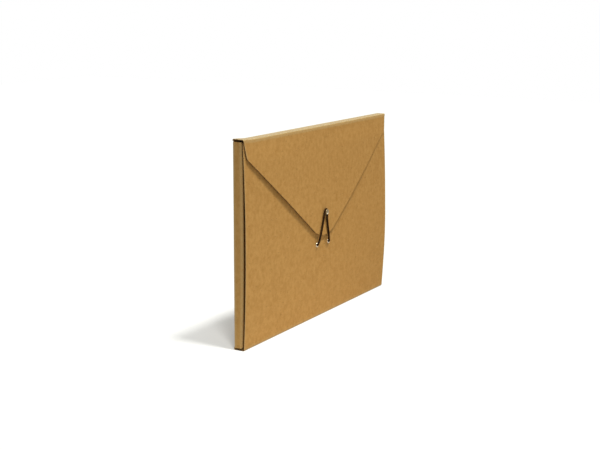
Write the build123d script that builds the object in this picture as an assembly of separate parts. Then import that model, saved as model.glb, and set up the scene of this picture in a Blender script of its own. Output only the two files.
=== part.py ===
from build123d import *
import math
import os

# A kraft board document envelope that stands on its bottom spine.
# Millimetres. X runs to the right seen from the front, -Y is the front and Z is up.
# The origin is the centre of the underside of the bottom spine.

# Case
WIDTH = 340.0  # outside width, room for an A4 sheet laid sideways
HEIGHT = 236.5  # base to the top of the closed lid
DEPTH = 13.0  # back face to front face, measured at the folds
BOARD = 0.9  # thickness of the creased kraft board
FOLD_RADIUS = 1.0  # rounding on the outside of a pressed fold
MOUTH_DROP = 4.5  # lid top to the pocket's front edge
FRONT_BOW = 3.0  # how far the front panel swells out at mid height
GLUE_LINE = 0.1  # gap that the glue fills behind the front panel

# Side walls and glue tabs
WALL_BASE_GAP = 1.6  # relief cut between a side wall and the bottom spine
WALL_TOP_GAP = 2.0  # relief cut between a side wall and the lid
END_SLIT = 2.4  # open slit between a side wall's front fold and the front panel
TAB_WIDTH = 25.0  # how far a glue tab reaches behind the front panel
TAB_BASE = 8.0  # height of a tab's lower corner at its fold
TAB_TOP_GAP = 3.0  # from the pocket's front edge down to a tab's upper corner
TAB_SLANT = 10.0  # height that a tab loses at each end towards its free edge

# Lid creases
CREASE_CLEARANCE = 0.2  # play round the rounded edge that turns in a crease

# Closing flap
FLAP_GAP = 0.2  # from the front panel's folds to the flap's inside at the crease
FLAP_LEAN = 1.9  # degrees that the flap stands away from upright, crease to point
FLAP_BULGE = 1.2  # how far the flap swells out between crease and point
SHOULDER_DROP = 22.0  # lid top to the flap's shoulders
SHOULDER_INSET = 4.5  # how far each shoulder lies inside the case's end
SHOULDER_RADIUS = 6.0
POINT_DROP = 144.0  # lid top to where the slanted edges would meet
POINT_RADIUS = 42.0

# Stud on the flap
STUD_DROP = 104.8  # crease to the stud's axis, down the flap
SHANK_RADIUS = 1.2
SHANK_CLEARANCE = 0.05
FLANGE_RADIUS = 2.4
FLANGE_HEIGHT = 0.5
NECK_RADIUS = 1.2
HEAD_RADIUS = 2.7
HEAD_RIM = 0.5  # height of the head's rim below its dome
HEAD_DOME = 1.0
WASHER_RADIUS = 2.8
WASHER_HEIGHT = 0.4

# Eyelets in the front panel
EYELET_HEIGHT = 92.0  # base to the eyelets' axes
EYELET_SPACING = 28.0
BORE_RADIUS = 1.65
BARREL_WALL = 0.3
BARREL_CLEARANCE = 0.05
EYELET_RADIUS = 3.1
EYELET_BEAD = 0.8  # height of the rolled bead on the front
EYELET_RIM = 0.25  # height of the bead's outer rim
EYELET_CREST = 2.25  # radius of the bead's highest ring
EYELET_SLOPE = (2.75, 0.6)  # radius and height where the bead turns down to its rim
ROLL_RADIUS = 2.9
ROLL_BEAD = 0.6  # height of the clinched roll at the back
ROLL_BEVEL = 0.4  # how far the roll's crown lies inside its edges
EYELET_SEAT = 0.02  # play between the eyelet and the board's faces

# Elastic cord
CORD_RADIUS = 1.15
CORD_PLAY = 0.3  # play round the stud's neck, and at the turn out of an eyelet
LOOP_STANDOFF = 1.8  # front panel to the axis that the loop swings about
KNOT_RADIUS = 2.6
KNOT_LENGTH = 4.6
KNOT_BEVEL = 1.2  # how far each end of the knot draws in
KNOT_TAIL = 6.0

# Values worked out from the sizes above
HALF_WIDTH = WIDTH / 2
FRONT_TOP = HEIGHT - MOUTH_DROP
FRONT_FACE = -DEPTH / 2
BACK_FACE = DEPTH / 2
CREASE_HEIGHT = HEIGHT - BOARD / 2
BACK_CREASE = BACK_FACE - BOARD / 2
FRONT_CREASE = FRONT_FACE - FLAP_GAP - BOARD / 2
SOCKET_RADIUS = BOARD / 2 + CREASE_CLEARANCE
SOCKET_LIP = math.sqrt(SOCKET_RADIUS**2 - (BOARD / 2) ** 2)
FOLD = min(FOLD_RADIUS, 0.85 * BOARD)
BOW_SPAN = FRONT_TOP - BOARD
BOW_MIDDLE = (FRONT_TOP + BOARD) / 2
BOW_RADIUS = BOW_SPAN**2 / (8 * FRONT_BOW) + FRONT_BOW / 2
NECK_LENGTH = 2 * (CORD_RADIUS + CORD_PLAY / 2)
BARREL_RADIUS = BORE_RADIUS + BARREL_WALL


def bow_y(height: float, inset: float) -> float:
    """Y of the bowed front at a height, on the face that lies inset behind its outside."""
    rise = math.sqrt(BOW_RADIUS**2 - (height - BOW_MIDDLE) ** 2)
    return FRONT_FACE - FRONT_BOW + BOW_RADIUS - rise + inset


def bow_arc(inset: float, low: float, high: float) -> Edge:
    """The bowed front seen from the end, between two heights."""
    heights = (low, (low + high) / 2, high)
    return ThreePointArc(*[(bow_y(z, inset), z) for z in heights])


def across(profile: Face, left: float, right: float) -> Part:
    """Carry a profile, drawn in Y and Z, along the width from left to right."""
    return extrude(Plane.YZ.offset(left) * profile, amount=right - left, dir=(1, 0, 0))


def bowed_profile(inset: float, low: float, high: float) -> Face:
    """A board that follows the bowed front, seen from the end, with level edges."""
    outside = bow_arc(inset, low, high)
    inside = bow_arc(inset + BOARD, low, high)
    return make_face([outside, inside, Line(outside @ 0, inside @ 0), Line(outside @ 1, inside @ 1)])


def turned(profile: Face) -> Part:
    """Revolve a profile, drawn as radius and height, about Z."""
    return revolve(Plane.XZ * profile, axis=Axis.Z)


def front_plane(x: float) -> Plane:
    """The plane of the front panel at an eyelet, with its normal pointing out of the case."""
    tilt = math.asin((EYELET_HEIGHT - BOW_MIDDLE) / BOW_RADIUS)
    return Plane(
        origin=(x, bow_y(EYELET_HEIGHT, 0), EYELET_HEIGHT),
        x_dir=(1, 0, 0),
        z_dir=(0, -math.cos(tilt), math.sin(tilt)),
    )


def flap_plane(drop: float) -> Plane:
    """The plane that touches the flap's swollen middle, on the centre line, at a drop from its crease."""
    lean = math.radians(FLAP_LEAN)
    share = 2 * drop / POINT_DROP - 1
    swell = FLAP_BULGE * (1 - share**2)
    local_lean = lean - math.atan(4 * FLAP_BULGE * share / POINT_DROP)
    return Plane(
        origin=(
            0,
            FRONT_CREASE - drop * math.sin(lean) - swell * math.cos(lean),
            CREASE_HEIGHT - drop * math.cos(lean) + swell * math.sin(lean),
        ),
        x_dir=(1, 0, 0),
        z_dir=(0, -math.cos(local_lean), math.sin(local_lean)),
    )


def make_bottom_spine() -> Part:
    """The strip that the case stands on, rounded along its two folds."""
    strip = Pos(0, 0, BOARD / 2) * Box(WIDTH, DEPTH, BOARD)
    folds = strip.edges().filter_by(Axis.X).group_by(Axis.Z)[0]
    return fillet(folds, radius=FOLD)


def make_back_panel() -> Part:
    """The back, between the side walls, with a lip that the lid's rounded edge turns in."""
    inner = BACK_FACE - BOARD
    seat = CREASE_HEIGHT - SOCKET_RADIUS
    lip = CREASE_HEIGHT - SOCKET_LIP
    corners = [(BACK_CREASE, seat), (inner, seat), (inner, BOARD), (BACK_FACE, BOARD), (BACK_FACE, lip)]
    socket = RadiusArc((BACK_FACE, lip), (BACK_CREASE, seat), -SOCKET_RADIUS)
    profile = make_face([Polyline(*corners), socket])
    return across(profile, -HALF_WIDTH + BOARD, HALF_WIDTH - BOARD)


def make_front_panel() -> Part:
    """The bowed front of the pocket, with a hole for each eyelet."""
    panel = across(bowed_profile(0, BOARD, FRONT_TOP), -HALF_WIDTH, HALF_WIDTH)
    for side in (-1, 1):
        hole = Cylinder(BARREL_RADIUS + BARREL_CLEARANCE, 4 * BOARD)
        panel -= front_plane(side * EYELET_SPACING / 2) * hole
    return panel


def make_side_wall(side: int) -> Part:
    """An end wall, folded off the back panel, whose front edge follows the bow."""
    low = BOARD + WALL_BASE_GAP
    high = HEIGHT - BOARD - WALL_TOP_GAP
    front = bow_arc(BOARD + END_SLIT, low, high)
    back = Polyline(front @ 0, (BACK_FACE, low), (BACK_FACE, high), front @ 1)
    ends = sorted((side * HALF_WIDTH, side * (HALF_WIDTH - BOARD)))
    wall = across(make_face([front, back]), *ends)
    outside = wall.faces().sort_by(Axis.X)[-1 if side > 0 else 0]
    long_edges = outside.edges().sort_by(Edge.length)[-2:]
    return fillet(long_edges, radius=FOLD)


def make_glue_tab(side: int) -> Part:
    """The tab that turns in from an end wall and leans to the front panel, where its edge is glued."""
    root = HALF_WIDTH - BOARD
    tip = root - TAB_WIDTH
    high = FRONT_TOP - TAB_TOP_GAP
    across_tab = Vector(-side * TAB_WIDTH, GLUE_LINE - END_SLIT, 0)
    profile = bowed_profile(BOARD + END_SLIT, TAB_BASE, high)
    plate = extrude(Plane.YZ.offset(side * root) * profile, amount=across_tab.length, dir=across_tab)
    corners = [
        (side * root, TAB_BASE),
        (side * tip, TAB_BASE + TAB_SLANT),
        (side * tip, high - TAB_SLANT),
        (side * root, high),
    ]
    outline = Plane.XZ * make_face(Polyline(*corners, close=True))
    return plate & extrude(outline, amount=DEPTH, both=True)


def make_top_spine() -> Part:
    """The lid's spine: a rounded back edge that turns, and a lip that the flap turns in."""
    low = HEIGHT - BOARD
    socket_start = (FRONT_CREASE + SOCKET_LIP, HEIGHT)
    socket_end = (FRONT_CREASE + SOCKET_RADIUS, CREASE_HEIGHT)
    edges = [
        ThreePointArc((BACK_CREASE, low), (BACK_FACE, CREASE_HEIGHT), (BACK_CREASE, HEIGHT)),
        Line((BACK_CREASE, HEIGHT), socket_start),
        RadiusArc(socket_start, socket_end, -SOCKET_RADIUS),
        Polyline(socket_end, (socket_end[0], low), (BACK_CREASE, low)),
    ]
    return across(make_face(edges), -HALF_WIDTH, HALF_WIDTH)


def make_closing_flap() -> Part:
    """The pointed flap: a leaning, slightly swollen board with a rounded edge at its crease."""
    half = BOARD / 2
    length = POINT_DROP
    middle = -length / 2
    strip_edges = [
        ThreePointArc((half, 0), (0, half), (-half, 0)),
        ThreePointArc((-half, 0), (-half - FLAP_BULGE, middle), (-half, -length)),
        Line((-half, -length), (half, -length)),
        ThreePointArc((half, -length), (half - FLAP_BULGE, middle), (half, 0)),
    ]
    strip = Pos(FRONT_CREASE, CREASE_HEIGHT) * Rot(0, 0, -FLAP_LEAN) * make_face(strip_edges)
    shoulder = (HALF_WIDTH - SHOULDER_INSET, HEIGHT - SHOULDER_DROP)
    outline = FilletPolyline(
        (HALF_WIDTH, HEIGHT + BOARD),
        (HALF_WIDTH, CREASE_HEIGHT),
        shoulder,
        (0, HEIGHT - POINT_DROP),
        (-shoulder[0], shoulder[1]),
        (-HALF_WIDTH, CREASE_HEIGHT),
        (-HALF_WIDTH, HEIGHT + BOARD),
        radius=[0, 0, SHOULDER_RADIUS, POINT_RADIUS, SHOULDER_RADIUS, 0, 0],
        close=True,
    )
    reach = extrude(Plane.XZ * make_face(outline), amount=HEIGHT, both=True)
    hole = flap_plane(STUD_DROP) * Cylinder(SHANK_RADIUS + SHANK_CLEARANCE, 4 * BOARD)
    return (across(strip, -HALF_WIDTH, HALF_WIDTH) & reach) - hole


def make_flap_stud() -> Part:
    """The turned stud: shank, flange, neck for the loop and a domed head."""
    face = BOARD / 2
    neck = face + FLANGE_HEIGHT
    head = neck + NECK_LENGTH
    rim = head + HEAD_RIM
    tail = -face - WASHER_HEIGHT
    top = rim + HEAD_DOME
    dome_radius = (HEAD_RADIUS**2 + HEAD_DOME**2) / (2 * HEAD_DOME)
    profile = [
        Polyline(
            (0, top),
            (0, tail),
            (SHANK_RADIUS, tail),
            (SHANK_RADIUS, face),
            (FLANGE_RADIUS, face),
            (FLANGE_RADIUS, neck),
            (NECK_RADIUS, neck),
            (NECK_RADIUS, head),
            (HEAD_RADIUS, head),
            (HEAD_RADIUS, rim),
        ),
        RadiusArc((HEAD_RADIUS, rim), (0, top), -dome_radius),
    ]
    return flap_plane(STUD_DROP) * turned(make_face(profile))


def make_stud_washer() -> Part:
    """The washer inside the flap, over which the stud's shank is clinched."""
    hole = Cylinder(SHANK_RADIUS + SHANK_CLEARANCE, WASHER_HEIGHT)
    washer = Cylinder(WASHER_RADIUS, WASHER_HEIGHT) - hole
    return flap_plane(STUD_DROP) * Pos(0, 0, -BOARD / 2 - WASHER_HEIGHT / 2) * washer


def make_eyelet(side: int) -> Part:
    """A rolled eyelet: bead in front, barrel through the board and a clinched roll behind."""
    front = EYELET_SEAT
    back = -BOARD - EYELET_SEAT
    crest = (EYELET_CREST, front + EYELET_BEAD)
    slope = (EYELET_SLOPE[0], front + EYELET_SLOPE[1])
    rim = (EYELET_RADIUS, front + EYELET_RIM)
    mouth_and_bore = [crest, (BORE_RADIUS, front), (BORE_RADIUS, back)]
    roll = [
        (BORE_RADIUS + ROLL_BEVEL, back - ROLL_BEAD),
        (ROLL_RADIUS - ROLL_BEVEL, back - ROLL_BEAD),
        (ROLL_RADIUS, back),
    ]
    barrel = [(BARREL_RADIUS, back), (BARREL_RADIUS, front), (EYELET_RADIUS, front)]
    profile = make_face(Polyline(*mouth_and_bore, *roll, *barrel, rim, slope, close=True))
    return front_plane(side * EYELET_SPACING / 2) * turned(profile)


def make_cord_knot(side: int) -> Part:
    """One end of the cord: out through its eyelet, with a knot and a short tail inside."""
    near = -BOARD - EYELET_SEAT - ROLL_BEAD - CORD_PLAY
    far = near - KNOT_LENGTH
    middle = (near + far) / 2
    tip = LOOP_STANDOFF - CORD_RADIUS - CORD_PLAY
    drawn_in = KNOT_RADIUS - KNOT_BEVEL
    half_profile = [
        (0, near),
        (drawn_in, near),
        (KNOT_RADIUS, near - KNOT_BEVEL),
        (KNOT_RADIUS, far + KNOT_BEVEL),
        (drawn_in, far),
        (0, far),
    ]
    knot = turned(make_face(Polyline(*half_profile, close=True)))
    stub = Pos(0, 0, (tip + middle) / 2) * Cylinder(CORD_RADIUS, tip - middle)
    tail = Pos(0, -(KNOT_RADIUS + KNOT_TAIL) / 2, middle) * Rot(90, 0, 0)
    tail = tail * Cylinder(CORD_RADIUS, KNOT_RADIUS + KNOT_TAIL)
    return front_plane(side * EYELET_SPACING / 2) * (knot + stub + tail)


def loop_route() -> list[Vector]:
    """Points of the loop: up from the left eyelet, round the stud's neck and down to the right."""
    exit_point = Vector(0, 0, LOOP_STANDOFF)
    left = front_plane(-EYELET_SPACING / 2).from_local_coords(exit_point)
    right = front_plane(EYELET_SPACING / 2).from_local_coords(exit_point)
    groove = BOARD / 2 + FLANGE_HEIGHT + NECK_LENGTH / 2
    neck = flap_plane(STUD_DROP).from_local_coords(Vector(0, 0, groove))
    turn = 48.0
    reach = (NECK_RADIUS + CORD_RADIUS + CORD_PLAY) / math.cos(math.radians(turn / 2))
    wrap = [neck + Vector(0, 0, reach).rotate(Axis.Y, angle) for angle in (-turn, 0, turn)]
    return [
        left,
        left + Vector(1.0, -1.8, 5.0),
        left + Vector(3.2, -2.7, 14.0),
        *wrap,
        right + Vector(-9.1, -2.7, 27.0),
        right + Vector(-6.0, -2.7, 14.0),
        right + Vector(-2.6, -1.8, 5.0),
        right,
    ]


def corner_radii(route: list[Vector]) -> list[float]:
    """The largest bend that each corner's two runs leave room for."""
    radii = []
    for before, corner, after in zip(route, route[1:], route[2:]):
        turn = math.radians((corner - before).get_angle(after - corner))
        shorter = min((corner - before).length, (after - corner).length)
        radii.append(0.45 * shorter / math.tan(turn / 2))
    return radii


def make_elastic_loop() -> Part:
    """The free loop of cord, with round ends on the axis that it swings about."""
    route = loop_route()
    radii = corner_radii(route)
    path = FilletPolyline(*route, radius=radii)
    section = Plane(origin=path @ 0, z_dir=path % 0) * Circle(CORD_RADIUS)
    tube = sweep(section, path=path)
    print("loop bends", [round(radius, 1) for radius in radii])
    print("loop length", round(path.length, 2), "volume by length", round(path.length * section.area, 2))
    print("tube volume", round(tube.volume, 2))
    for end in (route[0], route[-1]):
        tube += Pos(end) * Sphere(CORD_RADIUS)
    return tube


def main() -> None:
    """Write one file for each piece."""
    pieces = {
        "bottom_spine": make_bottom_spine(),
        "back_panel": make_back_panel(),
        "front_panel": make_front_panel(),
        "top_spine": make_top_spine(),
        "closing_flap": make_closing_flap(),
        "flap_stud": make_flap_stud(),
        "stud_washer": make_stud_washer(),
        "elastic_loop": make_elastic_loop(),
    }
    for name, side in (("left", -1), ("right", 1)):
        pieces[f"{name}_side_wall"] = make_side_wall(side)
        pieces[f"{name}_glue_tab"] = make_glue_tab(side)
        pieces[f"{name}_eyelet"] = make_eyelet(side)
        pieces[f"{name}_cord_knot"] = make_cord_knot(side)
    os.makedirs("parts", exist_ok=True)
    for name, piece in pieces.items():
        export_step(piece, f"parts/{name}.step")


if __name__ == "__main__":
    main()
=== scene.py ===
"""Looks of a kraft board envelope with a loop closure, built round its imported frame.

Sizes are millimetres in the classes below and become metres when a mesh is made.
Lengths that only a material or the camera reads are metres.
X runs to the right seen from the front, -Y is the front and Z is up.
"""

import logging
import math
from dataclasses import dataclass, field
from enum import Enum
from itertools import chain

import bmesh
import bpy
import numpy as np
from bpy.types import Material, Mesh, Node, NodeSocket, NodeTree, Object, World
from mathutils import Matrix, Vector

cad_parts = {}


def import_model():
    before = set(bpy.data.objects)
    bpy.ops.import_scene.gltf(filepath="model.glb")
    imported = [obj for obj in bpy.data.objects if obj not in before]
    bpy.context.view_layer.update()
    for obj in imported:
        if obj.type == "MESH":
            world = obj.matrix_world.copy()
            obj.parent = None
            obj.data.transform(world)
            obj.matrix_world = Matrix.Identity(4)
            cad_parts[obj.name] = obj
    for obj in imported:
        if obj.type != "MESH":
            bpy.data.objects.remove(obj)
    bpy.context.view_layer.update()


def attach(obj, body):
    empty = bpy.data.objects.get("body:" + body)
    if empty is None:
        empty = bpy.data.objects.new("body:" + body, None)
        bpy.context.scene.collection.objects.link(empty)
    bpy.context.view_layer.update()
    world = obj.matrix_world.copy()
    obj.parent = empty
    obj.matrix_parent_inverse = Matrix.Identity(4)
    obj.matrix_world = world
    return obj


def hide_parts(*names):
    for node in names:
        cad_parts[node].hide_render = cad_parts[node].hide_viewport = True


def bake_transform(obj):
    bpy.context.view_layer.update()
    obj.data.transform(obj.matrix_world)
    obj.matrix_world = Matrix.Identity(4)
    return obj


LOG = logging.getLogger("envelope")
MM = 0.001
SHARP_ANGLE = math.radians(38.0)
MERGE_REACH = 1e-7
TINY = 1e-9
CLOSE = 1e-6
FULL_TURN = 2.0 * math.pi
CUT_BEVEL = 0.14
CUT_LINES = (0.14, 0.5, 0.86)
LINE_DIGITS = 6
FOLD_STEPS = 9
SPINE_STEPS = 7
LONG_WAVE = (47.0, 39.0)
SHORT_WAVE = (23.0, 61.0)
PHASE_SHIFT = (1.7, 2.0)
WAVE_RISE = (0.10, 0.05)

Pair = tuple[float, float]
Place = tuple[float, float, float]
Colour = tuple[float, float, float, float]
Block = tuple[int, int, int, int]
Feed = NodeSocket | float | tuple
Inputs = dict[str | int, Feed]


class Side(Enum):
    """The two ends of the case, as the sign of X."""

    LEFT = -1
    RIGHT = 1

    @property
    def word(self) -> str:
        """The side as a lower-case word."""
        return self.name.lower()


@dataclass
class Profile:
    """A line in a plane with the unit normal at each point, built up from runs and arcs."""

    points: np.ndarray = field(default_factory=lambda: np.zeros((0, 2)))
    normals: np.ndarray = field(default_factory=lambda: np.zeros((0, 2)))
    bends: np.ndarray = field(default_factory=lambda: np.zeros(0))

    def add(self, points: np.ndarray, normals: np.ndarray, bend: float) -> None:
        """Append points and normals, without the first where it repeats the last one.

        Args:
            points: new points, one row each.
            normals: unit normals of those points.
            bend: 1 on a fold and 0 on a flat stretch.
        """
        first = 0
        if len(self.points) and np.allclose(self.points[-1], points[0], atol=TINY):
            first = 1
        self.points = np.vstack([self.points, points[first:]])
        self.normals = np.vstack([self.normals, normals[first:]])
        self.bends = np.concatenate([self.bends, np.full(len(points) - first, bend)])

    def run(self, start: Pair, end: Pair, count: int) -> None:
        """A straight run whose normal lies to the right of its direction.

        Args:
            start: first point.
            end: last point.
            count: number of points.
        """
        share = np.linspace(0.0, 1.0, count)[:, None]
        ends = np.array([start, end], float)
        along = (ends[1] - ends[0]) / np.linalg.norm(ends[1] - ends[0])
        points = ends[0] + share * (ends[1] - ends[0])
        self.add(points, np.tile([along[1], -along[0]], (count, 1)), 0.0)

    def arc(
        self, centre: Pair, radius: float, first: float, last: float, count: int, stretch: float = 1.0
    ) -> None:
        """A circular or oval arc whose normal points outwards.

        Args:
            centre: centre of the circle.
            radius: radius of the circle.
            first: angle of the first point, in degrees.
            last: angle of the last point, in degrees.
            count: number of points.
            stretch: how many times longer the oval's second half axis is.
        """
        angle = np.radians(np.linspace(first, last, count))
        circle = np.column_stack([np.cos(angle), np.sin(angle)])
        axes = np.array([1.0, stretch])
        normals = circle / axes
        normals /= np.linalg.norm(normals, axis=1, keepdims=True)
        self.add(np.array(centre) + radius * circle * axes, normals, 1.0)


def smooth_step(value: np.ndarray, low: float, high: float) -> np.ndarray:
    """An even rise from 0 at low to 1 at high, flat at both ends."""
    share = np.clip((value - low) / (high - low), 0.0, 1.0)
    return share * share * (3.0 - 2.0 * share)


def quads(index: np.ndarray) -> np.ndarray:
    """Four-sided faces between neighbouring points of an index grid, one row each."""
    corners = (index[:-1, :-1], index[1:, :-1], index[1:, 1:], index[:-1, 1:])
    return np.stack([corner.ravel() for corner in corners], axis=1)


def block_loop(index: np.ndarray, block: Block) -> np.ndarray:
    """Indices once round the border of a block of an index grid.

    Args:
        index: grid of point numbers.
        block: first row, last row, first column, last column.

    Returns:
        The border's point numbers in order.
    """
    top, bottom, left, right = block
    sides = (
        index[top, left:right],
        index[top:bottom, right],
        index[bottom, right:left:-1],
        index[bottom:top:-1, left],
    )
    return np.concatenate(sides)


def finish_mesh(name: str, points: np.ndarray, faces: list[np.ndarray]) -> Object:
    """Put points and faces into a new object.

    Args:
        name: object and mesh name.
        points: places in millimetres, one row each.
        faces: arrays of faces, one row of point numbers each.

    Returns:
        The new object, linked to the scene.
    """
    mesh = bpy.data.meshes.new(name)
    rows = chain.from_iterable(part.tolist() for part in faces)
    mesh.from_pydata((points * MM).tolist(), [], list(rows))
    mesh.validate()
    obj = bpy.data.objects.new(name, mesh)
    bpy.context.scene.collection.objects.link(obj)
    return obj


def tidy_normals(obj: Object) -> None:
    """Merge doubled points, turn the faces outwards and shade smooth between sharp edges.

    Args:
        obj: the object whose mesh is tidied.
    """
    work = bmesh.new()
    work.from_mesh(obj.data)
    bmesh.ops.remove_doubles(work, verts=work.verts, dist=MERGE_REACH)
    bmesh.ops.recalc_face_normals(work, faces=work.faces)
    work.to_mesh(obj.data)
    work.free()
    obj.data.polygons.foreach_set("use_smooth", np.ones(len(obj.data.polygons), bool))
    obj.data.set_sharp_from_angle(angle=SHARP_ANGLE)


def mesh_points(mesh: Mesh) -> np.ndarray:
    """Read the points of a mesh.

    Args:
        mesh: the mesh.

    Returns:
        Places in millimetres, one row each.
    """
    place = np.empty(len(mesh.vertices) * 3)
    mesh.vertices.foreach_get("co", place)
    return place.reshape(-1, 3) / MM


def move_points(mesh: Mesh, points: np.ndarray) -> None:
    """Put a mesh's points in new places, in millimetres."""
    mesh.vertices.foreach_set("co", (points * MM).ravel())
    mesh.update()


def point_values(obj: Object, name: str, values: np.ndarray) -> None:
    """Store one number per point under a name that materials read."""
    attribute = obj.data.attributes.new(name, "FLOAT", "POINT")
    attribute.data.foreach_set("value", values.astype(np.float32))


def board_sheet(
    name: str, outside: np.ndarray, inside: np.ndarray, bends: np.ndarray, holes: tuple[Block, ...] = ()
) -> Object:
    """Close two grids into one sheet of board.

    The two grids are the board's faces. Round the border, and round each hole, a band of four
    strips joins them: the three lines between stand out by the bevel, which takes the sharpness
    off the cut. Attributes say how near a point is to a fold and to a cut, and how deep in the
    board. Points that no face uses, inside the holes, are left out.

    Args:
        name: object name.
        outside: grid of outer points, rows by columns by 3.
        inside: grid of inner points of the same shape.
        bends: how rubbed a row or point of the outer face is by lying on a fold, 0 to 1.
        holes: blocks of the grid that are left open.

    Returns:
        The new object.
    """
    rows, columns = outside.shape[:2]
    size = rows * columns
    index = np.arange(size).reshape(rows, columns)
    keep = np.ones((rows - 1, columns - 1), bool)
    for top, bottom, left, right in holes:
        keep[top:bottom, left:right] = False
    face = quads(index)[keep.ravel()]
    points = [outside.reshape(-1, 3), inside.reshape(-1, 3)]
    faces = [face, face[:, ::-1] + size]
    bend = np.broadcast_to(bends, (rows, columns)).ravel()
    none = np.zeros(size)
    fold, cut, depth = [bend, none], [none, none], [none, np.ones(size)]
    used = 2 * size
    borders = [((0, rows - 1, 0, columns - 1), 1)] + [(hole, -1) for hole in holes]
    for block, sign in borders:
        loop = block_loop(index, block)
        row, column = np.divmod(loop, columns)
        top, bottom, left, right = block
        back_row = row + sign * ((row == top).astype(int) - (row == bottom))
        back_column = column + sign * ((column == left).astype(int) - (column == right))
        outer, inner = outside[row, column], inside[row, column]
        out = outer - outside[back_row, back_column]
        out /= np.maximum(np.linalg.norm(out, axis=1, keepdims=True), TINY)
        count = len(loop)
        numbers = [loop]
        for share in CUT_LINES:
            points.append(outer * (1 - share) + inner * share + out * CUT_BEVEL)
            numbers.append(used + np.arange(count))
            fold.append(bend[loop])
            cut.append(np.ones(count))
            depth.append(np.full(count, share))
            used += count
        numbers.append(loop + size)
        band = np.stack([np.concatenate([line, line[:1]]) for line in numbers])
        faces.append(quads(band) if sign < 0 else quads(band)[:, ::-1])
    placed, corners = np.unique(np.concatenate(faces), return_inverse=True)
    obj = finish_mesh(name, np.concatenate(points)[placed], [corners.reshape(-1, 4)])
    for label, values in (("fold", fold), ("cut", cut), ("depth", depth)):
        point_values(obj, label, np.concatenate(values)[placed])
    tidy_normals(obj)
    return obj


def turned_piece(
    name: str, profile: np.ndarray, origin: np.ndarray, axis: np.ndarray, sides: int
) -> Object:
    """Turn a profile about an axis.

    A point is the origin, plus its radius times a unit vector that goes once round the axis, plus
    its height along the axis. A radius of zero closes in a pole.

    Args:
        name: object name.
        profile: radius and height, one row each; a closed line if its ends meet.
        origin: where height is zero, in millimetres.
        axis: unit vector along which height grows.
        sides: number of steps round the axis.

    Returns:
        The new object.
    """
    across = np.array([1.0, 0.0, 0.0])
    up = np.cross(axis, across)
    angle = np.linspace(0.0, FULL_TURN, sides, endpoint=False)[None, :, None]
    ring = np.cos(angle) * across + np.sin(angle) * up
    radius = profile[:, 0, None, None]
    points = origin + radius * ring + profile[:, 1, None, None] * axis
    index = np.arange(points.shape[0] * sides).reshape(-1, sides)
    obj = finish_mesh(name, points.reshape(-1, 3), [quads(np.hstack([index, index[:, :1]]))])
    tidy_normals(obj)
    return obj


def rounded_line(corners: list[Place], steps: int = 6) -> np.ndarray:
    """A broken line whose corners are rounded by parabolas.

    Each inner corner has its own reach. The line leaves the run at that distance before the
    corner and joins the next run at that distance after it, on a quadratic curve between.

    Args:
        corners: two coordinates and the reach of each corner.
        steps: points on each rounded corner.

    Returns:
        Points of the line, one row each.
    """
    share = np.linspace(0.0, 1.0, steps)[:, None]
    places = np.array(corners)[:, :2]
    line = [places[:1]]
    for before, corner, after, reach in zip(places, places[1:], places[2:], np.array(corners)[1:-1, 2]):
        leave = corner + reach * (before - corner) / np.linalg.norm(before - corner)
        join = corner + reach * (after - corner) / np.linalg.norm(after - corner)
        curve = (1 - share) ** 2 * leave + 2 * share * (1 - share) * corner + share**2 * join
        line.append(curve if reach > 0 else corner[None, :])
    line.append(places[-1:])
    return np.concatenate(line)


@dataclass(frozen=True)
class Grain:
    """One noise: its scale, detail and roughness, and how its place is stretched first."""

    scale: float
    detail: float
    roughness: float
    stretch: Place | None = None


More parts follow.
